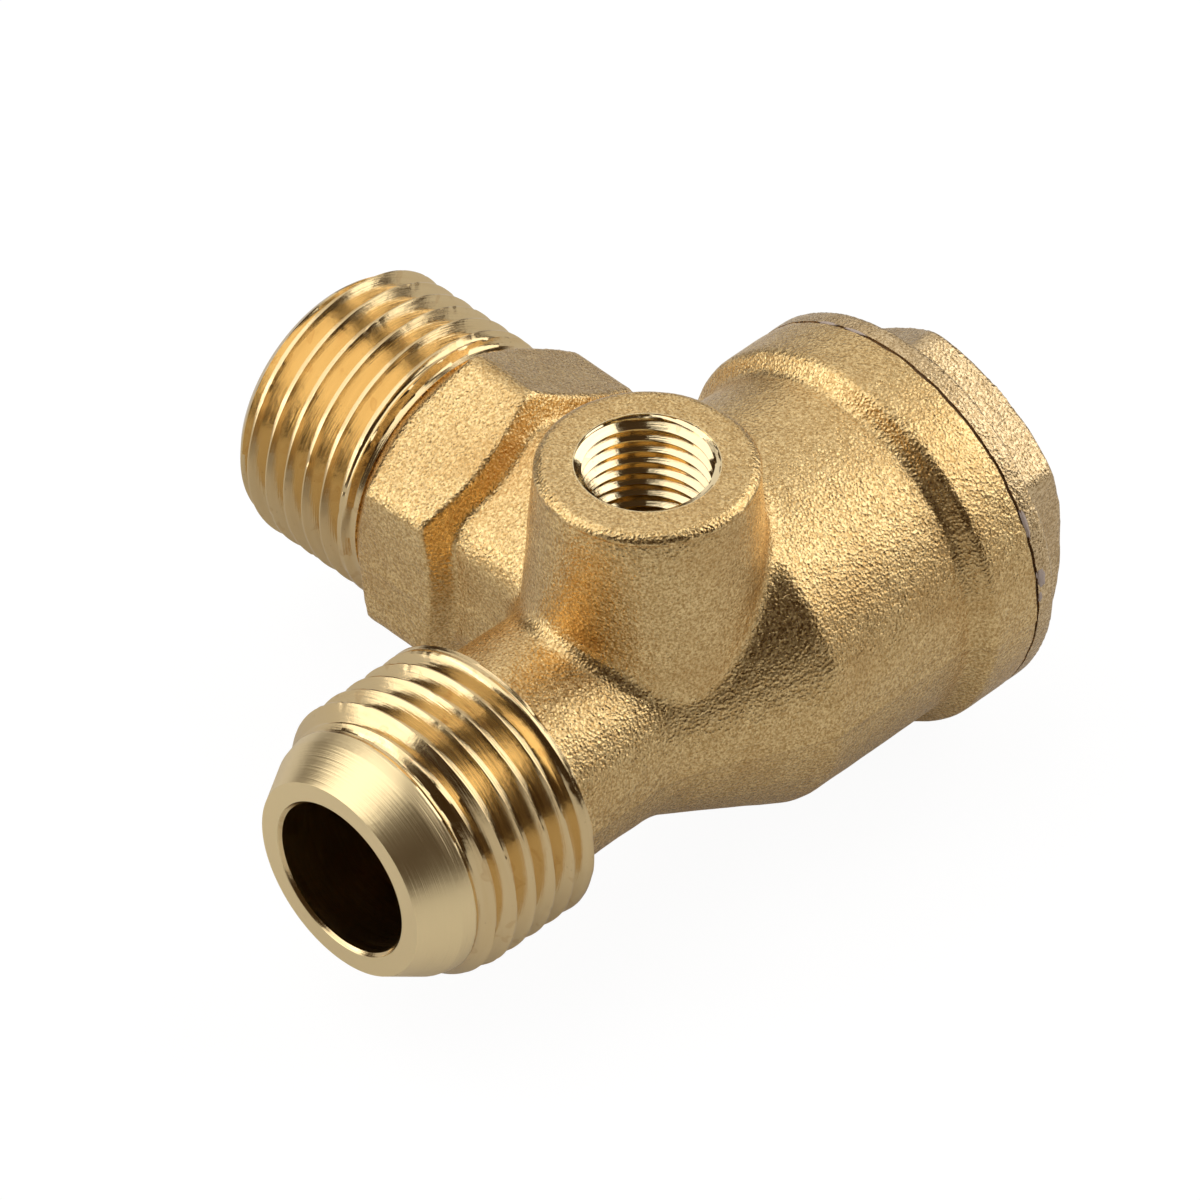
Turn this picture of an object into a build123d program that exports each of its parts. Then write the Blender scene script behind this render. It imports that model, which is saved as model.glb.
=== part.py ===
"""Air compressor non-return valve: forged brass body, screwed cap, sprung piston with a rubber disc.

Frame: millimetres, +Z up. The origin is where the inlet axis crosses the tank axis.
+X runs from the inlet to the cap, +Y runs out through the tank thread, +Z runs out through the unloader port.
"""
from build123d import *
import os
from math import cos, pi, sin, sqrt

os.makedirs("parts", exist_ok=True)

# Pipe threads of the inlet and the tank branch, G 1/2, plain at the crest here
thread_major_r = 20.955 / 2
thread_minor_r = 18.631 / 2

# Inlet, along -X
inlet_face_x = -34.5
cone_tip_r = 7.5
cone_big_r = 9.35
cone_len = 3.5
inlet_land = 0.7
lead_chamfer = thread_major_r - cone_big_r
inlet_thread_end_x = -20.6
run_out_len = 0.8
neck_end_x = inlet_thread_end_x + run_out_len
join_overlap = 0.5
join_inset = 0.1
bore_r = 5.8
bore_chamfer = 0.25

# Chamber and flange, along +X
neck_r = 8.4
shoulder_start_x = -10.6
barrel_start_x = 0.4
barrel_r = 13.4
flange_step = 1.4
flange_r = barrel_r + flange_step
flange_start_x = 13.4
flange_bevel_len = 1.0
joint_x = 18.5
seat_x = 3.3
seat_wall = 1.6
seat_bevel = 0.5
pocket_x = 0.8
chamber_wall = 2.8
chamber_r = barrel_r - chamber_wall
cap_thread_wall = 1.4
cap_thread_r = barrel_r - cap_thread_wall
cap_thread_start_x = 12.2
thread_relief = 0.25
thread_step_len = 1.0
neck_blend_r = 7.0
barrel_blend_r = 1.5
flange_blend_r = 0.4
joint_edge_r = 0.3

# Unloader boss, along +Z
boss_x = -5.2
boss_top_z = 19.3
boss_top_r = 7.75
boss_foot_r = 9.0
boss_blend_r = 1.4
boss_rim_r = 0.9
port_r = 5.0
port_depth = 9.4
port_chamfer = 0.12
pilot_r = 1.75
port_floor_fall = 0.6

# Tank branch, along +Y
branch_flats = 17.8
branch_corner_r = 3.5
branch_blend_r = 1.8
hex_flats = 21.0
hex_corner_r = 1.5
hex_back_y = 14.8
hex_front_y = 22.9
branch_end_y = hex_back_y + join_overlap
hex_blank_r = hex_flats / sqrt(3) + join_inset
hex_near_y = hex_back_y + (hex_blank_r - branch_flats / 2) / sqrt(3)
hex_far_y = hex_front_y - (hex_blank_r - hex_flats / 2) / sqrt(3)
run_out_y = 24.3
tank_thread_y = 24.6
run_out_rise = 0.3
tank_end_y = 36.2
tank_tip_r = 9.1
tank_bore_r = 6.25
tank_bore_end_y = 9.0
tank_floor_fall = 0.5
tank_floor_r = 5.0

# Cap, gasket and inner pieces
gasket_thick = 0.4
gasket_inset = 0.25
gasket_outer_r = flange_r - gasket_inset
cap_flange_thick = 1.5
cap_hex_flats = 22.0
cap_hex_corner_r = 1.6
cap_end_x = 25.2
cap_turn = -3.0
cap_chamfer_rise = 1.0
thread_gap = 0.05
step_gap = 0.1
edge_chamfer = 0.3
spigot_end_x = 11.4
spring_well_r = 5.4
spring_well_x = 17.0
guide_x = 23.4
stem_r = 3.0
guide_gap = 0.05
lift = 3.0
stop_gap = 0.1
disc_gap = 0.02
disc_r = 7.9
disc_thick = 2.0
disc_recess = 1.2
disc_edge_r = 0.3
head_r = 8.7
head_back_x = spigot_end_x - lift - stop_gap
stem_end_gap = 0.2
stem_end_x = guide_x - lift - stem_end_gap
stem_fillet = 0.5
stem_chamfer = 0.4
wire_r = 0.35
spring_r = 4.4
spring_turns = 6.5
end_turns = 1.0

# Planes: the run and the tank branch are drawn in XY and turned about their own axes
boss_axis = Axis((boss_x, 0, 0), (0, 0, 1))


def circles_at(edges, x, r):
    """Full circles about the run's axis at the station x with the radius r."""
    found = []
    for edge in edges:
        if edge.geom_type != GeomType.CIRCLE:
            continue
        if abs(edge.center().X - x) < 0.02 and abs(edge.radius - r) < 0.02:
            found.append(edge)
    return found


def new_curves(before, edges):
    """Curved edges that were made since the list before was taken."""
    known = [tuple(round(value, 3) for value in edge.center()) for edge in before]
    found = []
    for edge in edges:
        if edge.geom_type == GeomType.LINE:
            continue
        if tuple(round(value, 3) for value in edge.center()) in known:
            continue
        found.append(edge)
    return found


# valve_body: one forging, machined on its threads, faces and bores
with BuildPart() as valve_body:
    # Forged run: neck, sloping shoulder, barrel and flange
    with BuildSketch(Plane.XY):
        with BuildLine():
            Polyline(
                (neck_end_x, 0),
                (neck_end_x, neck_r),
                (shoulder_start_x, neck_r),
                (barrel_start_x, barrel_r),
                (flange_start_x, barrel_r),
                (flange_start_x + flange_bevel_len, flange_r),
                (joint_x, flange_r),
                (joint_x, 0),
                close=True,
            )
        make_face()
    revolve(axis=Axis.X)
    fillet(circles_at(valve_body.edges(), shoulder_start_x, neck_r), neck_blend_r)
    fillet(circles_at(valve_body.edges(), barrel_start_x, barrel_r), barrel_blend_r)
    fillet(circles_at(valve_body.edges(), flange_start_x, barrel_r), flange_blend_r)
    fillet(circles_at(valve_body.edges(), flange_start_x + flange_bevel_len, flange_r), flange_blend_r)
    fillet(circles_at(valve_body.edges(), joint_x, flange_r), joint_edge_r)

    # Branch with soft flats, blended into the run
    before = valve_body.edges()
    with BuildSketch(Plane.XZ) as branch_section:
        RegularPolygon(radius=branch_flats / 2, side_count=6, major_radius=False, rotation=30)
        fillet(branch_section.vertices(), branch_corner_r)
    extrude(amount=-branch_end_y)
    branch_curves = new_curves(before, valve_body.edges())
    branch_foot = [edge for edge in branch_curves if edge.center().Y < branch_end_y - join_inset]
    fillet(branch_foot, branch_blend_r)

    # Unloader boss with draft, blended at its foot and round at its rim
    with BuildSketch(Plane.XZ):
        with BuildLine():
            Polyline(
                (boss_x, 0),
                (boss_x + boss_foot_r, 0),
                (boss_x + boss_top_r, boss_top_z),
                (boss_x, boss_top_z),
                close=True,
            )
        make_face()
    revolve(axis=boss_axis)
    cone_faces = [face for face in valve_body.faces() if face.geom_type == GeomType.CONE]
    boss_walls = [face for face in cone_faces if face.center().Z > boss_top_z / 2]
    boss_wall = sorted(boss_walls, key=lambda face: face.area)[-1]
    wall_curves = [edge for edge in boss_wall.edges() if edge.geom_type != GeomType.LINE]
    boss_foot = [edge for edge in wall_curves if edge.bounding_box().max.Z < boss_top_z - boss_rim_r]
    fillet(boss_foot, boss_blend_r)
    boss_top = valve_body.faces().sort_by(Axis.Z)[-1]
    fillet(boss_top.edges(), boss_rim_r)

    # Inlet end: cone, plain land and the thread's crest, with the run-out towards the neck
    with BuildSketch(Plane.XY):
        with BuildLine():
            Polyline(
                (inlet_face_x, 0),
                (inlet_face_x, cone_tip_r),
                (inlet_face_x + cone_len, cone_big_r),
                (inlet_face_x + cone_len + inlet_land, cone_big_r),
                (inlet_face_x + cone_len + inlet_land + lead_chamfer, thread_major_r),
                (inlet_thread_end_x, thread_major_r),
                (neck_end_x, neck_r),
                (neck_end_x + join_overlap, neck_r - join_inset),
                (neck_end_x + join_overlap, 0),
                close=True,
            )
        make_face()
    revolve(axis=Axis.X)

    # Tank branch: shoulder up to the hexagon, hexagon, chamfer cone down to the thread, crest and tip
    with BuildSketch(Plane.XY, mode=Mode.PRIVATE) as hex_turning:
        with BuildLine():
            Polyline(
                (0, hex_back_y),
                (branch_flats / 2, hex_back_y),
                (hex_blank_r, hex_near_y),
                (hex_blank_r, hex_far_y),
                (hex_flats / 2, hex_front_y),
                (thread_minor_r, run_out_y),
                (0, run_out_y),
                close=True,
            )
        make_face()
    hex_blank = revolve(hex_turning.sketch.faces(), axis=Axis.Y, mode=Mode.PRIVATE)
    with BuildSketch(Plane.XZ.offset(-hex_back_y), mode=Mode.PRIVATE) as hex_section:
        RegularPolygon(radius=hex_flats / 2, side_count=6, major_radius=False, rotation=30)
        fillet(hex_section.vertices(), hex_corner_r)
    hex_bar = extrude(hex_section.sketch.faces(), amount=-(run_out_y - hex_back_y), mode=Mode.PRIVATE)
    add(hex_blank & hex_bar)
    with BuildSketch(Plane.XY):
        with BuildLine():
            Polyline(
                (0, run_out_y - join_overlap),
                (thread_minor_r, run_out_y - join_overlap),
                (thread_minor_r, run_out_y),
                (thread_major_r, tank_thread_y + run_out_rise),
                (thread_major_r, tank_end_y - thread_major_r + tank_tip_r),
                (tank_tip_r, tank_end_y),
                (0, tank_end_y),
                close=True,
            )
        make_face()
    revolve(axis=Axis.Y)

    # Chamber from the cap's end: thread bore with relief, chamber bore, and the raised seat left standing
    with BuildSketch(Plane.XY):
        with BuildLine():
            Polyline(
                (joint_x, 0),
                (joint_x, cap_thread_r + thread_relief),
                (joint_x - thread_relief, cap_thread_r),
                (cap_thread_start_x, cap_thread_r),
                (cap_thread_start_x - thread_step_len, chamber_r),
                (pocket_x, chamber_r),
                (pocket_x, bore_r + seat_wall + seat_bevel),
                (seat_x - seat_bevel, bore_r + seat_wall),
                (seat_x, bore_r + seat_wall - seat_bevel),
                (seat_x, 0),
                close=True,
            )
        make_face()
    revolve(axis=Axis.X, mode=Mode.SUBTRACT)

    # Inlet bore with its small face chamfer
    with BuildSketch(Plane.XY):
        with BuildLine():
            Polyline(
                (inlet_face_x, 0),
                (inlet_face_x, bore_r + bore_chamfer),
                (inlet_face_x + bore_chamfer, bore_r),
                (seat_x, bore_r),
                (seat_x, 0),
                close=True,
            )
        make_face()
    revolve(axis=Axis.X, mode=Mode.SUBTRACT)

    # Tank bore, drilled into the chamber behind the seat
    with BuildSketch(Plane.XY):
        with BuildLine():
            Polyline(
                (0, tank_bore_end_y - tank_floor_fall),
                (tank_floor_r, tank_bore_end_y - tank_floor_fall),
                (tank_bore_r, tank_bore_end_y),
                (tank_bore_r, tank_end_y - bore_chamfer),
                (tank_bore_r + bore_chamfer, tank_end_y),
                (0, tank_end_y),
                close=True,
            )
        make_face()
    revolve(axis=Axis.Y, mode=Mode.SUBTRACT)

    # Unloader port: thread bore with drill tip, and the pilot hole into the inlet bore
    port_floor_z = boss_top_z - port_depth
    pilot_end_z = bore_r - 1.0
    with BuildSketch(Plane.XZ):
        with BuildLine():
            Polyline(
                (boss_x, pilot_end_z),
                (boss_x + pilot_r, pilot_end_z),
                (boss_x + pilot_r, port_floor_z - port_floor_fall),
                (boss_x + port_r, port_floor_z),
                (boss_x + port_r, boss_top_z - port_chamfer),
                (boss_x + port_r + port_chamfer, boss_top_z),
                (boss_x, boss_top_z),
                close=True,
            )
        make_face()
    revolve(axis=boss_axis, mode=Mode.SUBTRACT)

# end_cap: flange, hexagon and the screwed spigot with spring well and guide bore
cap_flange_x = joint_x + gasket_thick
cap_hex_x = cap_flange_x + cap_flange_thick
hex_tip_r = cap_hex_flats / sqrt(3)
with BuildPart() as end_cap:
    with BuildSketch(Plane.XY):
        with BuildLine():
            Polyline(
                (spigot_end_x, 0),
                (spigot_end_x, chamber_r - thread_gap - edge_chamfer),
                (spigot_end_x + edge_chamfer, chamber_r - thread_gap),
                (cap_thread_start_x - thread_step_len + step_gap, chamber_r - thread_gap),
                (cap_thread_start_x + edge_chamfer, cap_thread_r - thread_gap),
                (cap_flange_x, cap_thread_r - thread_gap),
                (cap_flange_x, flange_r),
                (cap_hex_x, flange_r),
                (cap_hex_x, 0),
                close=True,
            )
        make_face()
    revolve(axis=Axis.X)
    fillet(circles_at(end_cap.edges(), cap_flange_x, flange_r), joint_edge_r)
    fillet(circles_at(end_cap.edges(), cap_hex_x, flange_r), joint_edge_r)
    with BuildSketch(Plane.XY, mode=Mode.PRIVATE) as cap_turning:
        with BuildLine():
            Polyline(
                (cap_hex_x - join_overlap, 0),
                (cap_hex_x - join_overlap, hex_tip_r),
                (cap_end_x - cap_chamfer_rise, hex_tip_r),
                (cap_end_x, hex_tip_r - cap_chamfer_rise * sqrt(3)),
                (cap_end_x, 0),
                close=True,
            )
        make_face()
    cap_blank = revolve(cap_turning.sketch.faces(), axis=Axis.X, mode=Mode.PRIVATE)
    with BuildSketch(Plane.YZ.offset(cap_hex_x - join_overlap), mode=Mode.PRIVATE) as cap_section:
        RegularPolygon(radius=cap_hex_flats / 2, side_count=6, major_radius=False, rotation=cap_turn + 30)
        fillet(cap_section.vertices(), cap_hex_corner_r)
    cap_bar_len = cap_end_x - cap_hex_x + join_overlap
    cap_bar = extrude(cap_section.sketch.faces(), amount=cap_bar_len, mode=Mode.PRIVATE)
    add(cap_blank & cap_bar)
    with BuildSketch(Plane.XY):
        with BuildLine():
            Polyline(
                (spigot_end_x, 0),
                (spigot_end_x, spring_well_r),
                (spring_well_x, spring_well_r),
                (spring_well_x, stem_r + guide_gap + edge_chamfer),
                (spring_well_x + edge_chamfer, stem_r + guide_gap),
                (guide_x, stem_r + guide_gap),
                (guide_x, 0),
                close=True,
            )
        make_face()
    revolve(axis=Axis.X, mode=Mode.SUBTRACT)

# cap_gasket: thin flat ring in the joint
with BuildPart() as cap_gasket:
    with BuildSketch(Plane.YZ.offset(joint_x)):
        Circle(gasket_outer_r)
        Circle(cap_thread_r + thread_gap, mode=Mode.SUBTRACT)
    extrude(amount=gasket_thick)

# valve_piston: head with the disc's recess, stem that slides in the cap's guide bore
disc_x = seat_x + disc_gap
head_front_x = disc_x + disc_thick - disc_recess
with BuildPart() as valve_piston:
    with BuildSketch(Plane.XY):
        with BuildLine():
            Polyline(
                (disc_x + disc_thick, 0),
                (disc_x + disc_thick, disc_r),
                (head_front_x, disc_r),
                (head_front_x, head_r - edge_chamfer),
                (head_front_x + edge_chamfer, head_r),
                (head_back_x - edge_chamfer, head_r),
                (head_back_x, head_r - edge_chamfer),
                (head_back_x, stem_r + stem_fillet),
                (head_back_x + stem_fillet, stem_r),
                (stem_end_x - stem_chamfer, stem_r),
                (stem_end_x, stem_r - stem_chamfer),
                (stem_end_x, 0),
                close=True,
            )
        make_face()
    revolve(axis=Axis.X)

# seal_disc: rubber disc in the head's recess, closing on the seat
with BuildPart() as seal_disc:
    with BuildSketch(Plane.YZ.offset(disc_x)):
        Circle(disc_r)
    extrude(amount=disc_thick)
    fillet(seal_disc.edges().filter_by(GeomType.CIRCLE).sort_by(Axis.X)[0], disc_edge_r)

# return_spring: round wire on a helix about the stem, with closed ends
spring_start_x = head_back_x + wire_r
spring_end_x = spring_well_x - wire_r
end_pitch = 2.2 * wire_r
end_rise = end_pitch * end_turns
open_rise = spring_end_x - spring_start_x - 2 * end_rise
points_per_turn = 16
spring_path = []
for step in range(int(spring_turns * points_per_turn) + 1):
    turn = step / points_per_turn
    if turn < end_turns:
        rise = end_rise * turn / end_turns
    elif turn < spring_turns - end_turns:
        rise = end_rise + open_rise * (turn - end_turns) / (spring_turns - 2 * end_turns)
    else:
        rise = end_rise + open_rise + end_rise * (turn - spring_turns + end_turns) / end_turns
    angle = 2 * pi * turn
    spring_path.append((spring_start_x + rise, spring_r * cos(angle), spring_r * sin(angle)))
with BuildPart() as return_spring:
    with BuildLine() as coil:
        Spline(spring_path)
    with BuildSketch(Plane(origin=coil.line @ 0, z_dir=coil.line % 0)):
        Circle(wire_r)
    sweep(path=coil.line, is_frenet=True)

valve_body.part.label = "valve_body"
end_cap.part.label = "end_cap"
cap_gasket.part.label = "cap_gasket"
valve_piston.part.label = "valve_piston"
seal_disc.part.label = "seal_disc"
return_spring.part.label = "return_spring"
export_step(valve_body.part, "parts/valve_body.step")
export_step(end_cap.part, "parts/end_cap.step")
export_step(cap_gasket.part, "parts/cap_gasket.step")
export_step(valve_piston.part, "parts/valve_piston.step")
export_step(seal_disc.part, "parts/seal_disc.step")
export_step(return_spring.part, "parts/return_spring.step")
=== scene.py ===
import math
from collections import namedtuple

import bmesh
import bpy
import numpy as np
from mathutils import Matrix, Vector, noise


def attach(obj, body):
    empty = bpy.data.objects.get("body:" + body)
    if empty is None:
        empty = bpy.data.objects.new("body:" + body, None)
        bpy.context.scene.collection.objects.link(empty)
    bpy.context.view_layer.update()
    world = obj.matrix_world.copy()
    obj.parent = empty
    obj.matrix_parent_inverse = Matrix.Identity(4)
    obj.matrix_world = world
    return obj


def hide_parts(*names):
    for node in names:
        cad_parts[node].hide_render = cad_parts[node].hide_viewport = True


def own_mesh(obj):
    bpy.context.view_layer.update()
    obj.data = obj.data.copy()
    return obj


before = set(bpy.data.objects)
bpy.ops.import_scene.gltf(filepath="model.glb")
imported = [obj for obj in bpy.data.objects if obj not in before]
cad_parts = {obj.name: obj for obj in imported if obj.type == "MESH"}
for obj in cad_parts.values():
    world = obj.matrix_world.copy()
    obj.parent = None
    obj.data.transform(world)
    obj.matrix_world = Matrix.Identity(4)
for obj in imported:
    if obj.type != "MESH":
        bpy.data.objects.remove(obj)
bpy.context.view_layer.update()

MM = 0.001
TURN = 2 * math.pi

# Threads, in millimetres: pipe threads of the inlet and the tank branch, and the port's thread
CREST_R = 10.478
ROOT_R = 9.316
PITCH = 1.814
PORT_R = 5.0
PORT_CREST_R = 4.46
PORT_PITCH = 1.0

# Inlet along -X, in millimetres
INLET_FACE = -34.5
INLET_END = -19.5
INLET_CUT = -19.75
INLET_TRIM = -23.0
CONE_TIP_R = 7.5
CONE_BIG_R = 9.35
GROOVE_R = 9.2
NECK_R = 8.4
BORE_R = 5.8
BORE_CHAMFER = 0.25
# The inlet's matt zone lies before this station and outside this radius: its rougher finish is real, its
# paler colour is painted light.
MATT_AND_PAINTED_LIGHT_BEFORE = -30.6
MATT_AND_PAINTED_LIGHT_OUTSIDE_R = 5.95

# Tank branch along +Y, in millimetres
TANK_START = 23.9
TANK_CUT = 24.2
TANK_TRIM = 28.0
TANK_END = 36.2
TANK_TIP_R = 9.1
TANK_BORE_R = 6.25

# Unloader boss along +Z, in millimetres
BOSS_X = -5.2
BOSS_TOP = 19.3
PORT_FLOOR = 9.9
PORT_MOUTH = 19.28
PORT_WALL_R = 5.06
PILOT_R = 1.75

# Chamber, seat and the cap's inside along +X, in millimetres
POCKET_X = 0.8
SEAT_X = 3.3
SEAT_R = 7.4
SEAT_BEVEL = 0.5
CHAMBER_R = 10.6
CHAMBER_END = 11.2
CAP_THREAD_START = 12.2
CAP_THREAD_R = 12.0
CAP_RELIEF = 0.25
BODY_END = 18.5
GUIDE_R = 3.05
GUIDE_END = 23.4

# Joint between body and cap, in millimetres
JOINT_X = 18.7
JOINT_GAP = 0.25
JOINT_WAVE = 0.12
RIM_R = 14.76
GASKET_R = 14.56
CAP_TRIM = 17.5
SPIGOT_TRIM = 18.96


# Camera: the photograph's angle, distance and framing
def place_camera():
    azimuth = math.radians(-45.49)
    elevation = math.radians(42.33)
    roll = math.radians(0.464)
    distance = 0.7000
    focal_px = 10122.0
    image_px = 1200
    origin_px = Vector((697.5, 635.8))
    centre_px = Vector((600, 600))
    flat = math.cos(elevation)
    back = Vector((math.sin(azimuth) * flat, -math.cos(azimuth) * flat, math.sin(elevation)))
    right = (-back).cross(Vector((0, 0, 1))).normalized()
    up = right.cross(-back)
    turned_right = math.cos(roll) * right + math.sin(roll) * up
    turned_up = -math.sin(roll) * right + math.cos(roll) * up
    offset = (origin_px - centre_px) / focal_px * distance
    place = back * distance - turned_right * offset.x + turned_up * offset.y
    data = bpy.data.cameras.new("camera")
    data.sensor_fit = "HORIZONTAL"
    data.sensor_width = 36
    data.lens = data.sensor_width * focal_px / image_px
    data.clip_start = 0.01
    data.clip_end = 20
    camera = bpy.data.objects.new("camera", data)
    bpy.context.scene.collection.objects.link(camera)
    basis = Matrix((turned_right, turned_up, back)).transposed()
    camera.matrix_world = Matrix.Translation(place) @ basis.to_4x4()
    bpy.context.scene.camera = camera


# Small helpers for node materials
class Nodes:
    """A material's node tree, with a short call for each kind of node that is used here."""

    def __init__(self, name):
        self.mat = bpy.data.materials.new(name)
        self.mat.use_nodes = True
        self.tree = self.mat.node_tree
        self.bsdf = self.tree.nodes["Principled BSDF"]
        self.coords = self.tree.nodes.new("ShaderNodeTexCoord").outputs["Object"]

    def link(self, source, target):
        self.tree.links.new(source, target)

    def mapping(self, scale):
        node = self.tree.nodes.new("ShaderNodeMapping")
        node.inputs["Scale"].default_value = scale
        self.link(self.coords, node.inputs["Vector"])
        return node.outputs["Vector"]

    def noise(self, scale, detail=3.0, rough=0.5, vector=None, distortion=0.0):
        node = self.tree.nodes.new("ShaderNodeTexNoise")
        node.inputs["Scale"].default_value = scale
        node.inputs["Detail"].default_value = detail
        node.inputs["Roughness"].default_value = rough
        node.inputs["Distortion"].default_value = distortion
        self.link(vector or self.coords, node.inputs["Vector"])
        return node.outputs["Fac"]

    def voronoi(self, scale, output="Distance"):
        node = self.tree.nodes.new("ShaderNodeTexVoronoi")
        node.inputs["Scale"].default_value = scale
        self.link(self.coords, node.inputs["Vector"])
        return node.outputs[output]

    def ramp(self, source, stops):
        node = self.tree.nodes.new("ShaderNodeValToRGB")
        while len(node.color_ramp.elements) < len(stops):
            node.color_ramp.elements.new(0.5)
        for element, (place, grey) in zip(node.color_ramp.elements, stops):
            element.position = place
            element.color = (grey, grey, grey, 1)
        self.link(source, node.inputs["Fac"])
        return node.outputs["Color"]

    def math(self, kind, a, b=0.5, clamp=False):
        node = self.tree.nodes.new("ShaderNodeMath")
        node.operation = kind
        node.use_clamp = clamp
        for socket, value in zip(node.inputs, (a, b)):
            if isinstance(value, (int, float)):
                socket.default_value = value
            else:
                self.link(value, socket)
        return node.outputs[0]

    def mix(self, factor, a, b):
        node = self.tree.nodes.new("ShaderNodeMix")
        node.data_type = "RGBA"
        sockets = [socket for socket in node.inputs if socket.enabled]
        for socket, value in zip(sockets, (factor, a, b)):
            if isinstance(value, (int, float)):
                socket.default_value = value
            elif isinstance(value, tuple):
                socket.default_value = (*value, 1)
            else:
                self.link(value, socket)
        return [socket for socket in node.outputs if socket.enabled][0]

    def bump(self, height, distance, strength=1.0, normal=None):
        node = self.tree.nodes.new("ShaderNodeBump")
        node.inputs["Distance"].default_value = distance
        node.inputs["Strength"].default_value = strength
        self.link(height, node.inputs["Height"])
        if normal is not None:
            self.link(normal, node.inputs["Normal"])
        return node.outputs["Normal"]

    def axis_value(self, axis):
        node = self.tree.nodes.new("ShaderNodeSeparateXYZ")
        self.link(self.coords, node.inputs[0])
        return node.outputs[axis]

    def radius_about(self, axis):
        squares = []
        for other in range(3):
            if other != axis:
                size = self.math("ABSOLUTE", self.axis_value(other))
                squares.append(self.math("POWER", size, 2.0))
        return self.math("SQRT", self.math("ADD", *squares))


def blasted_brass(name, dark, light, patch):
    """Forged brass after shot blasting: matt grain that sparkles, with broad warm patches."""
    n = Nodes(name)
    grain = n.noise(scale=5200, detail=2.0, rough=0.65)
    pits = n.voronoi(scale=4300)
    specks = n.voronoi(scale=5600, output="Color")
    broad = n.noise(scale=110, detail=3.0, rough=0.55)
    middle = n.noise(scale=600, detail=2.0, rough=0.5)
    dull_share = n.math("MULTIPLY", n.ramp(middle, [(0.45, 0.0), (0.72, 1.0)]), 0.28)
    patch_share = n.math("MULTIPLY", n.ramp(broad, [(0.5, 0.0), (0.75, 1.0)]), 0.5)
    base = n.mix(n.ramp(grain, [(0.38, 0.0), (0.62, 1.0)]), dark, light)
    base = n.mix(dull_share, base, dark)
    base = n.mix(patch_share, base, patch)
    n.link(base, n.bsdf.inputs["Base Color"])
    n.bsdf.inputs["Metallic"].default_value = 1.0
    n.link(n.ramp(specks, [(0.2, 0.22), (0.8, 0.36)]), n.bsdf.inputs["Roughness"])
    height = n.math("ADD", n.math("MULTIPLY", grain, 0.7), n.math("MULTIPLY", pits, 0.6))
    fine = n.bump(height, distance=0.00007, strength=1.0)
    waves = n.noise(scale=1300, detail=2.0)
    n.link(n.bump(waves, distance=0.00010, strength=0.55, normal=fine), n.bsdf.inputs["Normal"])
    return n.mat


def tool_marks(n, axis, across, along, detail, rough):
    """Noise that is drawn out round an axis, as the marks of a turning tool are."""
    scales = [across] * 3
    scales[axis] = along
    return n.noise(scale=1.0, detail=detail, rough=rough, vector=n.mapping(tuple(scales)))


def machined_brass(name, axis, colour, warm, roughness=0.12, matt_and_painted_light_before=None):
    """Turned brass: bright, with fine tool lines round the axis and small warm stains.

    Surfaces at a station before matt_and_painted_light_before, in millimetres along the axis, keep coarser tool marks,
    apart from the bore's wall.
    """
    stain = (0.52, 0.27, 0.08)
    speck = (0.25, 0.15, 0.06)
    # Painted light: a paler brass colour for the matt zone, which stands in for brighter light on the
    # inlet's cone.
    matt_painted_light_colour = (1.0, 0.80, 0.45)
    matt_roughness = (0.34, 0.34, 0.34)
    n = Nodes(name)
    lines = tool_marks(n, axis, across=90.0, along=14000.0, detail=3.0, rough=0.6)
    bands = tool_marks(n, axis, across=220.0, along=4200.0, detail=2.0, rough=0.5)
    blots = n.noise(scale=620, detail=1.0, rough=0.4, distortion=0.4)
    stains = n.ramp(blots, [(0.66, 0.0), (0.68, 1.0), (0.72, 0.5)])
    specks = n.ramp(n.voronoi(scale=1500), [(0.03, 1.0), (0.09, 0.0)])
    base = n.mix(n.math("MULTIPLY", bands, 0.55), colour, warm)
    base = n.mix(n.math("MULTIPLY", stains, 0.25), base, stain)
    base = n.mix(n.math("MULTIPLY", specks, 0.6), base, speck)
    rough = n.ramp(bands, [(0.3, roughness), (0.7, roughness + 0.10)])
    fine = n.bump(lines, distance=0.000011, strength=0.9)
    if matt_and_painted_light_before is not None:
        ahead = n.math("SUBTRACT", matt_and_painted_light_before * MM, n.axis_value(axis))
        outward = n.math("SUBTRACT", n.radius_about(axis), MATT_AND_PAINTED_LIGHT_OUTSIDE_R * MM)
        before = n.math("MULTIPLY", ahead, 4000.0, clamp=True)
        outside = n.math("MULTIPLY", outward, 8000.0, clamp=True)
        matt_and_painted_light = n.math("MULTIPLY", before, outside)
        # In the matt zone the roughness and coarse tool marks are real, and the paler colour is painted
        # light.
        rough = n.mix(matt_and_painted_light, rough, matt_roughness)
        base = n.mix(matt_and_painted_light, base, matt_painted_light_colour)
        coarse = tool_marks(n, axis, across=54.0, along=8400.0, detail=2.0, rough=0.6)
        fine = n.bump(n.math("MULTIPLY", coarse, matt_and_painted_light), distance=0.00003, strength=1.0, normal=fine)
    n.link(base, n.bsdf.inputs["Base Color"])
    n.bsdf.inputs["Metallic"].default_value = 1.0
    n.link(rough, n.bsdf.inputs["Roughness"])
    waves = n.noise(scale=2600, detail=2.0)
    n.link(n.bump(waves, distance=0.00002, strength=0.4, normal=fine), n.bsdf.inputs["Normal"])
    return n.mat


def plain_material(name, colour, metallic, roughness, grain, depth):
    """An even material with fine grain of its own in colour and height."""
    n = Nodes(name)
    darker = tuple(c * 0.8 for c in colour)
    lighter = tuple(min(1, c * 1.2) for c in colour)
    n.link(n.mix(n.noise(scale=grain), darker, lighter), n.bsdf.inputs["Base Color"])
    n.bsdf.inputs["Metallic"].default_value = metallic
    n.bsdf.inputs["Roughness"].default_value = roughness
    texture = n.noise(scale=grain * 2, detail=2.0)
    n.link(n.bump(texture, distance=depth, strength=0.6), n.bsdf.inputs["Normal"])
    return n.mat


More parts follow.
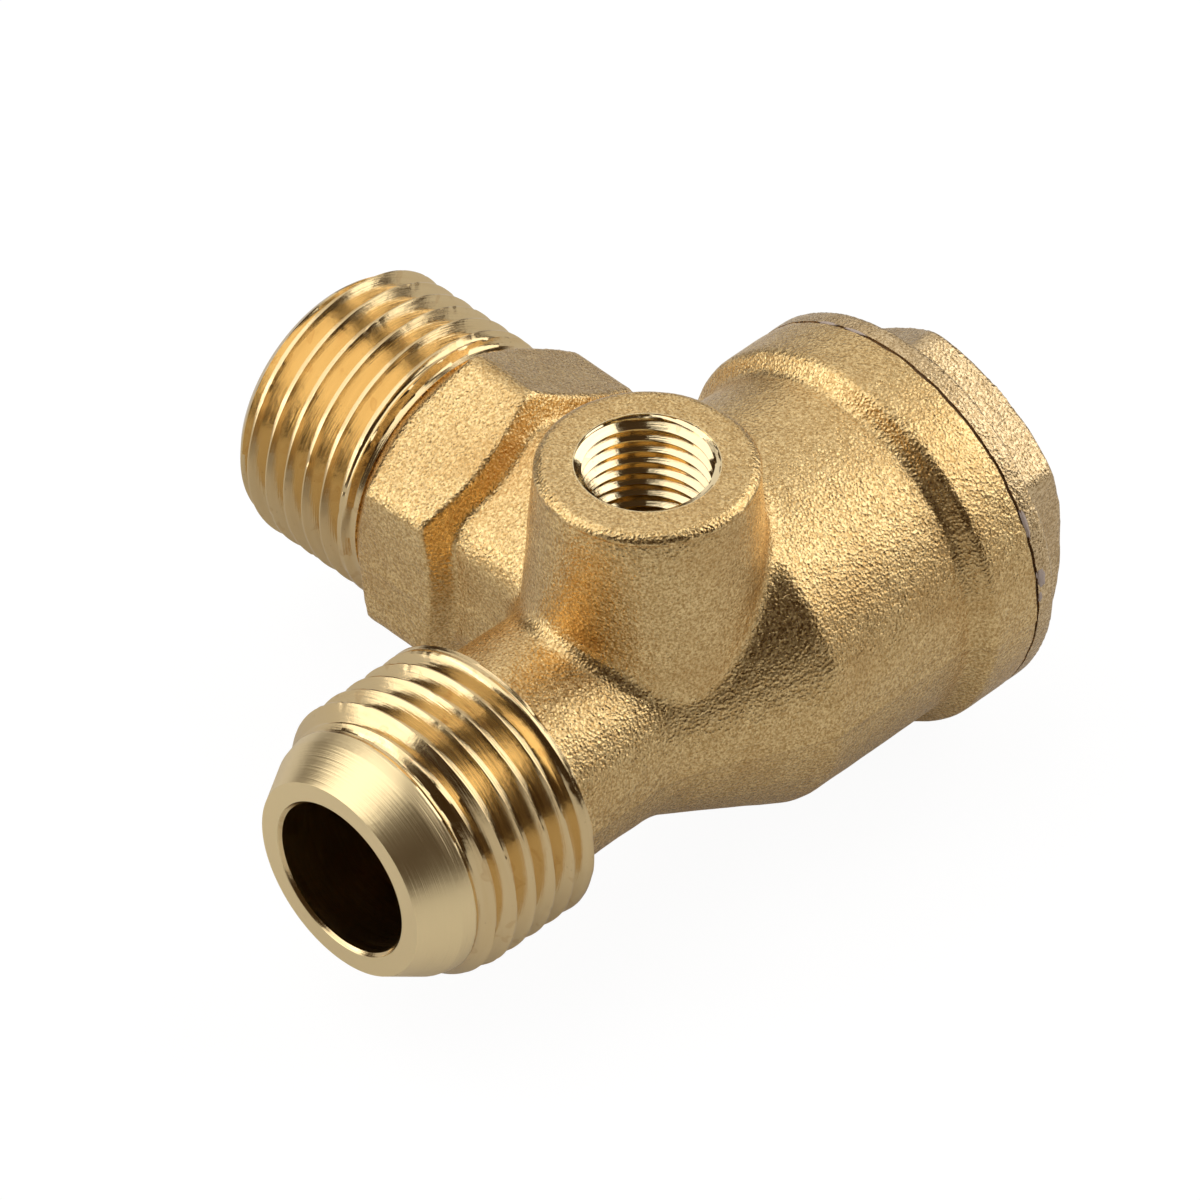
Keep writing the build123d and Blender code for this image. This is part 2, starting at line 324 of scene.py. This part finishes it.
# Mesh building
def new_object(name, verts, faces, material):
    mesh = bpy.data.meshes.new(name)
    mesh.from_pydata([tuple(v) for v in verts], [], faces)
    bm = bmesh.new()
    bm.from_mesh(mesh)
    bmesh.ops.remove_doubles(bm, verts=bm.verts, dist=2e-7)
    bmesh.ops.dissolve_degenerate(bm, edges=bm.edges, dist=1e-7)
    bmesh.ops.recalc_face_normals(bm, faces=bm.faces)
    bm.to_mesh(mesh)
    bm.free()
    obj = bpy.data.objects.new(name, mesh)
    bpy.context.scene.collection.objects.link(obj)
    if material is not None:
        mesh.materials.append(material)
    mesh.shade_smooth()
    mesh.set_sharp_from_angle(angle=math.radians(40))
    return obj


def placed(axis, s, r, theta, centre=(0, 0, 0)):
    """Points on a turned form: s along the axis, r out from it, theta by the right-hand rule."""
    a, b = r * np.cos(theta), r * np.sin(theta)
    out = {"x": (s, a, b), "y": (b, s, a), "z": (a, b, s)}[axis]
    shape = np.broadcast(s, r, theta).shape
    return np.stack([np.broadcast_to(c, shape) + shift for c, shift in zip(out, centre)], -1) * MM


# The form of a thread. crest is larger than root on the outside of a tube, and smaller in a hole.
Thread = namedtuple("Thread", "pitch crest root phase starts_at ends_at columns seed")

# Where the points of one pitch lie, with more of them at the crest and the root
THREAD_MARKS = np.array([
    0, 0.03, 0.07, 0.13, 0.2, 0.28, 0.36, 0.43, 0.465,
    0.5, 0.535, 0.57, 0.64, 0.72, 0.80, 0.87, 0.93, 0.97,
])


def phase_through(station, angle, start, pitch):
    """Phase of a thread with a crest that passes a station at an angle in degrees."""
    return (station - start) / pitch - angle / 360


def thread_form(phase, depth, flat=0.06, root=0.14):
    """Height above the root for a phase in pitches, with narrow flats at crest and root."""
    away = np.abs((phase + 0.5) % 1.0 - 0.5) * 2
    rise = np.clip((1 - root - away) / (1 - root - flat), 0, 1)
    return depth * rise


def crest_wear(along, seed):
    """Depth in mm by which the crest is worn at each place along the helix, counted in turns."""
    nicks = 220
    rng = np.random.default_rng(seed)
    worn = 0.02 + 0.015 * np.sin(along * 61.0 + 0.4) * np.sin(along * 23.7)
    for place in rng.uniform(-4, 12, nicks):
        depth, width = rng.uniform(0.01, 0.07), rng.uniform(0.0015, 0.005)
        worn = worn + depth * np.exp(-(((along - place) / width) ** 2))
    return worn


def thread_surface(thread, outline, theta):
    """Stations and radii of the threaded side: a row for each angle, with THREAD_MARKS in each pitch."""
    start, stop = outline[0][0], outline[-1][0]
    pitch, phase = thread.pitch, thread.phase
    turned = theta[:, None] / TURN
    turns = int(math.ceil((stop - start) / pitch)) + 3
    steps = (np.arange(turns)[:, None] + THREAD_MARKS[None, :]).ravel()
    s = start + pitch * (phase % 1.0 - 2 + turned + steps[None, :])
    s = np.clip(s, start, stop)
    depth = abs(thread.crest - thread.root)
    place = (s - start) / pitch - turned - phase
    form = thread_form(place, depth)
    fade_in = np.clip((s - thread.starts_at) / (0.35 * pitch), 0, 1)
    fade_out = np.clip((thread.ends_at - s) / (0.6 * pitch), 0, 1)
    cut = (depth - form) * np.minimum(fade_in, fade_out)
    if thread.seed:
        cut = cut + crest_wear(np.round(place) + turned, thread.seed) * (form / depth) ** 3
    limit = np.interp(s, *zip(*outline))
    if thread.crest > thread.root:
        return s, np.minimum(limit, thread.crest - cut)
    return s, np.maximum(limit, thread.crest + cut)


def threaded_tube(name, axis, outline, inner, thread, material, centre=(0, 0, 0)):
    """A closed tube with a right-hand thread on the side away from inner.

    outline and inner are (station, radius) points, from the tube's one end to the other.
    """
    columns = thread.columns
    theta = np.arange(columns) * TURN / columns
    s, r = thread_surface(thread, outline, theta)
    rows = s.shape[1]
    points = placed(axis, s, r, theta[:, None], centre).reshape(-1, 3)
    faces = []
    for i in range(columns):
        # The last column meets the first one a pitch further on
        shift = len(THREAD_MARKS) if i == columns - 1 else 0
        a, b = i * rows, ((i + 1) % columns) * rows
        for j in range(rows - 1 - shift):
            faces.append((a + j, a + j + 1, b + j + 1 + shift, b + j + shift))
    count = len(points)
    ring_s = np.array([p[0] for p in inner])[:, None]
    ring_r = np.array([p[1] for p in inner])[:, None]
    rings = placed(axis, ring_s, ring_r, theta[None, :], centre).reshape(-1, 3)
    for k in range(len(inner) - 1):
        for i in range(columns):
            j = (i + 1) % columns
            a, b = count + k * columns, count + (k + 1) * columns
            faces.append((a + i, a + j, b + j, b + i))
    first, final = count, count + (len(inner) - 1) * columns
    for i in range(columns):
        j = (i + 1) % columns
        faces.append((i * rows, j * rows, first + j, first + i))
        faces.append((i * rows + rows - 1, j * rows + rows - 1, final + j, final + i))
    return new_object(name, np.vstack([points, rings]), faces, material)


def turned_solid(name, profile, axis="x", centre=(0, 0, 0), columns=160):
    """A closed form turned from (station, radius) points. Radii of 0 close its ends."""
    theta = np.arange(columns) * TURN / columns
    verts, rings = [], []
    for s, r in profile:
        if r == 0:
            rings.append([len(verts)])
            verts.append(placed(axis, np.array([s]), np.array([0.0]), np.array([0.0]), centre)[0])
        else:
            rings.append(list(range(len(verts), len(verts) + columns)))
            verts.extend(placed(axis, np.full(columns, s), np.full(columns, r), theta, centre))
    faces = []
    for low, high in zip(rings, rings[1:]):
        for i in range(columns):
            j = (i + 1) % columns
            ring = [low[i % len(low)], low[j % len(low)], high[j % len(high)], high[i % len(high)]]
            face = [v for k, v in enumerate(ring) if v != ring[k - 1]]
            if len(face) > 2:
                faces.append(tuple(face))
    return new_object(name, verts, faces, None)


def stepped(steps, stop):
    """Profile of a stepped bar: (station, radius) where each step starts, and the station where it stops."""
    profile = [(steps[0][0], 0)]
    for (start, radius), after in zip(steps, steps[1:] + [(stop, 0)]):
        profile += [(start, radius), (after[0], radius)]
    return profile + [(stop, 0)]


def copy_node(node, name):
    """A new object with a CAD node's mesh and no material."""
    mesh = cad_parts[node].data.copy()
    mesh.name = name
    obj = bpy.data.objects.new(name, mesh)
    bpy.context.scene.collection.objects.link(obj)
    bm = bmesh.new()
    bm.from_mesh(mesh)
    bmesh.ops.remove_doubles(bm, verts=bm.verts, dist=1e-7)
    bm.to_mesh(mesh)
    bm.free()
    mesh.materials.clear()
    return obj


def apply_modifier(obj, kind, **settings):
    modifier = obj.modifiers.new(kind, kind)
    for key, value in settings.items():
        setattr(modifier, key, value)
    bpy.context.view_layer.update()
    shaped = obj.evaluated_get(bpy.context.evaluated_depsgraph_get())
    result = bpy.data.meshes.new_from_object(shaped)
    obj.modifiers.clear()
    old = obj.data
    obj.data = result
    bpy.data.meshes.remove(old)


def remesh(obj, size):
    """Makes one closed skin round obj, with voxels of a size in millimetres."""
    apply_modifier(obj, "REMESH", mode="VOXEL", voxel_size=size * MM, adaptivity=0.0)


def cut_away(obj, tool):
    apply_modifier(obj, "BOOLEAN", operation="DIFFERENCE", solver="MANIFOLD", object=tool)
    bpy.data.objects.remove(tool)


def trim(obj, axis, station, keep_below):
    """Cuts obj at a plane across an axis and closes the cut."""
    normal = Vector((0, 0, 0))
    normal[axis] = 1 if keep_below else -1
    place = Vector((0, 0, 0))
    place[axis] = station * MM
    bm = bmesh.new()
    bm.from_mesh(obj.data)
    everything = bm.verts[:] + bm.edges[:] + bm.faces[:]
    bmesh.ops.bisect_plane(bm, geom=everything, plane_co=place, plane_no=normal, clear_outer=True)
    rim = [edge for edge in bm.edges if edge.is_boundary]
    bmesh.ops.holes_fill(bm, edges=rim, sides=0)
    bmesh.ops.recalc_face_normals(bm, faces=bm.faces)
    bm.to_mesh(obj.data)
    bm.free()


def join(obj, others):
    bm = bmesh.new()
    bm.from_mesh(obj.data)
    for other in others:
        bm.from_mesh(other.data)
        bpy.data.objects.remove(other)
    bm.to_mesh(obj.data)
    bm.free()


def soften(obj, factor=0.5):
    """Rounds edges by moving each vertex towards the mean of its neighbours."""
    mesh = obj.data
    count = len(mesh.vertices)
    co = np.empty(count * 3)
    mesh.vertices.foreach_get("co", co)
    co = co.reshape(-1, 3)
    edges = np.empty(len(mesh.edges) * 2, dtype=np.int64)
    mesh.edges.foreach_get("vertices", edges)
    a, b = edges.reshape(-1, 2).T
    degree = np.bincount(a, minlength=count) + np.bincount(b, minlength=count)
    total = np.empty_like(co)
    for k in range(3):
        total[:, k] = np.bincount(a, co[b, k], count) + np.bincount(b, co[a, k], count)
    co += factor * (total / np.maximum(degree, 1)[:, None] - co)
    mesh.vertices.foreach_set("co", co.ravel())
    mesh.update()


def normals_of(obj):
    """Copies of the vertex normals, taken before any vertex moves."""
    return [vertex.normal.copy() for vertex in obj.data.vertices]


def roughen(obj, amounts):
    """Moves vertices along their normals by smooth noise: (size in mm, depth in mm) pairs."""
    mesh = obj.data
    for vertex, normal in zip(mesh.vertices, normals_of(obj)):
        shift = 0
        for size, depth in amounts:
            shift += depth * noise.noise(vertex.co / (size * MM) + Vector((size, 3, 7)))
        vertex.co += normal * shift * MM
    mesh.update()


def ragged_rim(obj, station):
    """Moves the outer edge of a flat rim to and fro along X, so that the joint's line wavers."""
    on_rim = 0.01
    for vertex in obj.data.vertices:
        x, y, z = vertex.co / MM
        if abs(x - station) < on_rim and math.hypot(y, z) > GASKET_R:
            vertex.co.x += JOINT_WAVE * noise.noise(Vector((x, y, z)) * 1.1) * MM


def finish_mesh(obj, material, angle=38):
    mesh = obj.data
    mesh.materials.clear()
    mesh.materials.append(material)
    mesh.polygons.foreach_set("material_index", [0] * len(mesh.polygons))
    mesh.shade_smooth()
    mesh.set_sharp_from_angle(angle=math.radians(angle))


# Forged body
def lip_sink(z, front):
    """How far in mm the boss's wall moves inwards at a height, most on its front side."""
    lip_foot, bulge_z = 18.35, 18.8
    above = z - lip_foot
    fall = math.exp(-((above / 0.18) ** 2)) if above > 0 else math.exp(above / 1.1)
    bulge = 0.07 * math.exp(-(((z - bulge_z) / 0.3) ** 2))
    return 0.27 * (0.3 + 0.7 * front) * fall - bulge


def shape_forging(obj):
    """Flattens the boss's top, undercuts its front rim a little and raises the faint parting line."""
    boss_reach, boss_depth, rim_inside_r = 9.5, 4, PORT_R + 1.5
    top_drop = 0.02
    parting_drop, parting_reach, parting_rise, parting_width = 0.85, 1.2, 0.10, 0.24
    for vertex, away in zip(obj.data.vertices, normals_of(obj)):
        x, y, z = vertex.co / MM
        out = math.hypot(x - BOSS_X, y)
        if out < boss_reach and z > BOSS_TOP - boss_depth:
            front = max(0.0, -(x - BOSS_X + y) / max(out, 0.01) / math.sqrt(2))
            sink = lip_sink(z, front)
            if out > rim_inside_r:
                vertex.co.x -= (x - BOSS_X) / out * sink * MM
                vertex.co.y -= y / out * sink * MM
            vertex.co.z = min(vertex.co.z, (BOSS_TOP - top_drop) * MM)
        if abs(z + parting_drop) < parting_reach:
            wave = 0.6 + 0.8 * noise.noise(Vector((x, y, 0)) * 0.35)
            near = math.exp(-(((z + parting_drop) / parting_width) ** 2))
            rise = parting_rise * max(0.0, wave) * near
            vertex.co += Vector((away.x, away.y, 0)) * rise * MM
    obj.data.update()


def cut_body(body):
    """Cuts the gasket's recess, the chamber with its seat, both bores and the port, all with crisp edges."""
    boss_centre = (BOSS_X, 0, 0)
    recess = stepped([(18.46, GASKET_R)], 19.5)
    chamber = [
        (20, 0),
        (20, CAP_THREAD_R + CAP_RELIEF),
        (BODY_END, CAP_THREAD_R + CAP_RELIEF),
        (BODY_END - CAP_RELIEF, CAP_THREAD_R),
        (CAP_THREAD_START, CAP_THREAD_R),
        (CHAMBER_END, CHAMBER_R),
        (POCKET_X, CHAMBER_R),
        (POCKET_X, SEAT_R + SEAT_BEVEL),
        (SEAT_X - SEAT_BEVEL, SEAT_R),
        (SEAT_X, SEAT_R - SEAT_BEVEL),
        (SEAT_X, 0),
    ]
    tank_bore = [(8.5, 0), (8.5, 5.0), (9.0, TANK_BORE_R), (30, TANK_BORE_R), (30, 0)]
    port = [
        (4.8, 0),
        (4.8, PILOT_R),
        (PORT_FLOOR - 0.6, PILOT_R),
        (PORT_FLOOR, PORT_WALL_R),
        (21, PORT_WALL_R),
        (21, 0),
    ]
    cut_away(body, turned_solid("cut_gasket", recess))
    cut_away(body, turned_solid("cut_chamber", chamber))
    cut_away(body, turned_solid("cut_bore", stepped([(-30, BORE_R)], 4)))
    cut_away(body, turned_solid("cut_tank", tank_bore, "y"))
    cut_away(body, turned_solid("cut_port", port, "z", boss_centre))


def build_body():
    """The CAD body with its hollows filled and its threaded ends off, softened, then cut crisp again."""
    body = copy_node("valve_body", "forged_body")
    trim(body, 0, INLET_TRIM, False)
    trim(body, 1, TANK_TRIM, True)
    run = stepped([(INLET_TRIM, 6.6), (2.0, 11.2), (11.4, 12.8)], 19.4)
    join(body, [
        turned_solid("plug_run", run),
        turned_solid("plug_tank", stepped([(5.0, 7.0)], TANK_TRIM), "y"),
        turned_solid("plug_port", stepped([(3.0, 5.6)], BOSS_TOP), "z", (BOSS_X, 0, 0)),
        turned_solid("plug_rim", stepped([(17.5, RIM_R)], 19.2)),
    ])
    remesh(body, 0.26)
    soften(body)
    roughen(body, [(6.0, 0.07), (1.8, 0.035)])
    shape_forging(body)
    rim = JOINT_X - JOINT_GAP / 2
    trim(body, 0, INLET_CUT, False)
    trim(body, 1, TANK_CUT, True)
    trim(body, 0, rim, True)
    cut_body(body)
    ragged_rim(body, rim)
    finish_mesh(body, body_brass)
    return body


# Threaded ends and the port's thread, which stand for the machined parts of the body
def build_inlet():
    """Cone, narrow groove, thread and run-out of the inlet, with its bore."""
    outline = [
        (INLET_FACE, CONE_TIP_R),
        (-31.7, 9.1),
        (-30.7, CONE_BIG_R),
        (-30.5, GROOVE_R),
        (-30.2, GROOVE_R),
        (-29.2, CREST_R),
        (-20.6, CREST_R),
        (-19.8, NECK_R),
        (-19.7, 8.25),
        (INLET_END, 8.2),
    ]
    bore = [
        (INLET_FACE, BORE_R + BORE_CHAMFER),
        (INLET_FACE + BORE_CHAMFER, BORE_R),
        (INLET_END, BORE_R),
    ]
    phase = phase_through(-28.2, 144, INLET_FACE, PITCH)
    thread = Thread(PITCH, CREST_R, ROOT_R, phase, starts_at=-30.9, ends_at=-20.75, columns=360, seed=1)
    return threaded_tube("inlet_end", "x", outline, bore, thread, inlet_brass)


def build_tank():
    """Thread and tip of the tank branch, with its bore."""
    outline = [
        (TANK_START, 9.8),
        (24.3, 9.9),
        (24.6, CREST_R),
        (34.822, CREST_R),
        (TANK_END, TANK_TIP_R),
    ]
    bore = [
        (TANK_START, TANK_BORE_R),
        (TANK_END - BORE_CHAMFER, TANK_BORE_R),
        (TANK_END, TANK_BORE_R + BORE_CHAMFER),
    ]
    phase = phase_through(30.7, -32, TANK_START, PITCH)
    thread = Thread(PITCH, CREST_R, ROOT_R, phase, starts_at=24.6, ends_at=37.5, columns=360, seed=5)
    return threaded_tube("tank_end", "y", outline, bore, thread, tank_brass)


def build_port():
    """Sleeve with the port's inside thread, in the boss."""
    outline = [
        (PORT_FLOOR, PORT_CREST_R),
        (18.95, PORT_CREST_R),
        (19.15, PORT_R),
        (PORT_MOUTH, PORT_R),
    ]
    wall = [(PORT_FLOOR, PORT_WALL_R), (PORT_MOUTH, PORT_WALL_R)]
    thread = Thread(PORT_PITCH, PORT_CREST_R, PORT_R, 0.3, starts_at=9.0, ends_at=20.5, columns=240, seed=0)
    return threaded_tube("port_thread", "z", outline, wall, thread, port_brass_painted_reflection, (BOSS_X, 0, 0))


# Cap, sealant and spring
def build_cap():
    """The cap's flange and hexagon, softened outside, with the recess and the guide bore cut crisp."""
    cap = copy_node("end_cap", "forged_cap")
    trim(cap, 0, CAP_TRIM, False)
    join(cap, [turned_solid("plug_cap", stepped([(CAP_TRIM, RIM_R), (19.9, 4.0)], 24.0))])
    remesh(cap, 0.24)
    soften(cap)
    roughen(cap, [(6.0, 0.05), (1.8, 0.03)])
    rim = JOINT_X + JOINT_GAP / 2
    trim(cap, 0, rim, False)
    cut_away(cap, turned_solid("cut_recess", stepped([(18.0, GASKET_R)], 18.94)))
    cut_away(cap, turned_solid("cut_guide", stepped([(15, GUIDE_R)], GUIDE_END)))
    ragged_rim(cap, rim)
    finish_mesh(cap, cap_brass)
    return cap


def build_spigot():
    """The cap's screwed spigot with its spring well and guide, as the CAD part has it."""
    spigot = copy_node("end_cap", "cap_spigot")
    trim(spigot, 0, SPIGOT_TRIM, True)
    finish_mesh(spigot, inner_brass)
    return spigot


def sealant_smears(name, smears, material):
    """Flat lumps of squeezed-out sealant on the joint.

    Each smear is its angle in degrees, and its station, half length, half width and height in millimetres.
    """
    verts, faces = [], []
    rings, sides = 12, 24
    sunk = 0.04
    for angle, station, half_length, half_width, height in smears:
        base = len(verts)
        for i in range(rings + 1):
            tilt = math.pi * i / rings
            for j in range(sides):
                turn = TURN * j / sides
                place = Vector((math.cos(turn), math.sin(turn), tilt)) * 1.6 + Vector((angle, 0, 0))
                lump = 1 + 0.45 * noise.noise(place)
                x = station + half_width * lump * math.sin(tilt) * math.cos(turn)
                along = math.radians(angle) + half_length * lump * math.cos(tilt) / RIM_R
                r = RIM_R - sunk + height * math.sin(tilt) * math.sin(turn)
                verts.append(Vector((x, r * math.cos(along), r * math.sin(along))) * MM)
        for i in range(rings):
            for j in range(sides):
                a, b = base + i * sides + j, base + i * sides + (j + 1) % sides
                faces.append((a, b, b + sides, a + sides))
    return new_object(name, verts, faces, material)


def build_sealant():
    return sealant_smears("joint_sealant", [
        (170, 19.14, 0.85, 0.42, 0.13),
        (176, 19.00, 0.50, 0.24, 0.05),
        (152.5, 18.88, 1.20, 0.20, 0.12),
        (66, 18.80, 0.90, 0.14, 0.10),
        (77, 18.78, 0.90, 0.12, 0.10),
    ], sealant_grey)


def build_spring():
    """The CAD spring again, as an object with a mesh of its own."""
    spring = copy_node("return_spring", "coil_spring")
    finish_mesh(spring, steel_wire)
    return spring


# Stage: pale floor, soft lights, white background
def place_panel(name, direction, size, radiance):
    """A large soft light, 0.9 m away in a direction, that is as bright as a white sheet times radiance."""
    away = 0.9
    data = bpy.data.lights.new(name, "AREA")
    data.shape = "RECTANGLE"
    data.size, data.size_y = size
    data.energy = math.pi * size[0] * size[1] * radiance
    obj = bpy.data.objects.new(name, data)
    bpy.context.scene.collection.objects.link(obj)
    obj.location = Vector(direction).normalized() * away
    obj.rotation_euler = (-obj.location).to_track_quat("-Z", "Y").to_euler()


def build_floor():
    """A pale floor that takes the object's shadow, and glows white where the camera sees it."""
    half, height = 3, -0.0148
    mirror_share, glow_share = 0.08, 0.86
    corners = [(-half, -half, height), (half, -half, height), (half, half, height), (-half, half, height)]
    floor = new_object("floor", corners, [(0, 1, 2, 3)], None)
    n = Nodes("floor_white")
    n.bsdf.inputs["Base Color"].default_value = (0.68, 0.68, 0.68, 1)
    n.bsdf.inputs["Roughness"].default_value = 0.9
    n.bsdf.inputs["Specular IOR Level"].default_value = 0.0
    glow = n.tree.nodes.new("ShaderNodeEmission")
    glow.inputs["Strength"].default_value = 1.1
    path = n.tree.nodes.new("ShaderNodeLightPath")
    mirrored = n.math("MULTIPLY", path.outputs["Is Glossy Ray"], mirror_share)
    seen = n.math("MAXIMUM", path.outputs["Is Camera Ray"], path.outputs["Is Transmission Ray"])
    seen = n.math("MAXIMUM", seen, mirrored)
    mixer = n.tree.nodes.new("ShaderNodeMixShader")
    n.link(n.math("MULTIPLY", seen, glow_share), mixer.inputs[0])
    n.link(n.bsdf.outputs[0], mixer.inputs[1])
    n.link(glow.outputs[0], mixer.inputs[2])
    n.link(mixer.outputs[0], n.tree.nodes["Material Output"].inputs[0])
    floor.data.materials.append(n.mat)


def build_world():
    """Dim and warm for the object, and white where the camera looks past the floor's edge."""
    world = bpy.data.worlds.new("studio")
    bpy.context.scene.world = world
    world.use_nodes = True
    tree = world.node_tree
    dim = tree.nodes["Background"]
    dim.inputs["Color"].default_value = (1.0, 0.60, 0.28, 1)
    dim.inputs["Strength"].default_value = 0.045
    white = tree.nodes.new("ShaderNodeBackground")
    white.inputs["Color"].default_value = (1, 1, 1, 1)
    white.inputs["Strength"].default_value = 1.0
    path = tree.nodes.new("ShaderNodeLightPath")
    seen = tree.nodes.new("ShaderNodeMath")
    seen.operation = "MAXIMUM"
    mixer = tree.nodes.new("ShaderNodeMixShader")
    tree.links.new(path.outputs["Is Camera Ray"], seen.inputs[0])
    tree.links.new(path.outputs["Is Transmission Ray"], seen.inputs[1])
    tree.links.new(seen.outputs[0], mixer.inputs[0])
    tree.links.new(dim.outputs[0], mixer.inputs[1])
    tree.links.new(white.outputs[0], mixer.inputs[2])
    tree.links.new(mixer.outputs[0], tree.nodes["World Output"].inputs[0])


def build_lights():
    place_panel("left_panel", (-0.40, 0.42, 0.81), (0.88, 1.40), 1.45)
    place_panel("right_panel", (0.73, -0.37, 0.58), (0.90, 0.95), 1.8)
    place_panel("low_panel", (-0.76, 0.64, 0.12), (0.62, 0.50), 1.8)
    place_panel("back_panel", (0.50, 0.62, 0.58), (0.85, 0.90), 0.75)


# Materials
yellow, deep_yellow = (0.82, 0.64, 0.36), (0.75, 0.52, 0.23)
body_brass = blasted_brass("body_brass", (0.56, 0.35, 0.13), (1.0, 0.74, 0.36), (0.55, 0.31, 0.10))
cap_brass = blasted_brass("cap_brass", (0.50, 0.34, 0.16), (0.94, 0.72, 0.42), (0.58, 0.38, 0.19))
inlet_brass = machined_brass("inlet_brass", 0, yellow, deep_yellow, matt_and_painted_light_before=MATT_AND_PAINTED_LIGHT_BEFORE)
tank_brass = machined_brass("tank_brass", 1, yellow, deep_yellow)
# The port's brass is paler than the other turned brass: a painted reflection of the lamps over the brass's
# own colour.
port_brass_painted_reflection = machined_brass("port_brass_painted_reflection", 2, (0.95, 0.80, 0.50), (0.88, 0.66, 0.34), roughness=0.05)
inner_brass = machined_brass("inner_brass", 0, (0.84, 0.66, 0.34), (0.78, 0.54, 0.22), roughness=0.22)
gasket_brown = plain_material("gasket_brown", (0.22, 0.13, 0.06), 0.0, 0.7, 2500, 0.00004)
sealant_grey = plain_material("sealant_grey", (0.56, 0.45, 0.38), 0.0, 0.45, 1500, 0.00004)
black_rubber = plain_material("black_rubber", (0.03, 0.03, 0.03), 0.0, 0.6, 1800, 0.00002)
steel_wire = plain_material("steel_wire", (0.6, 0.6, 0.6), 1.0, 0.3, 2000, 0.00001)

# Pieces that stand for the body, and those that stand for the cap
for piece in (build_body(), build_inlet(), build_tank(), build_port()):
    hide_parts("valve_body")
    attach(piece, "housing")
for piece in (build_cap(), build_spigot()):
    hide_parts("end_cap")
    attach(piece, "housing")

sealant = build_sealant()
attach(sealant, "housing")

spring = build_spring()
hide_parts("return_spring")
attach(spring, "housing")
# The spring stands in the cap 17 mm along X, and is 0.655 of its length when the piston is open
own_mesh(spring)

# CAD nodes that stay, with better materials
kept_nodes = {"cap_gasket": gasket_brown, "valve_piston": inner_brass, "seal_disc": black_rubber}
for node, material in kept_nodes.items():
    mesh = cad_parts[node].data
    mesh.materials.clear()
    mesh.materials.append(material)

build_floor()
build_world()
build_lights()
place_camera()
bpy.context.scene.view_settings.view_transform = "Standard"
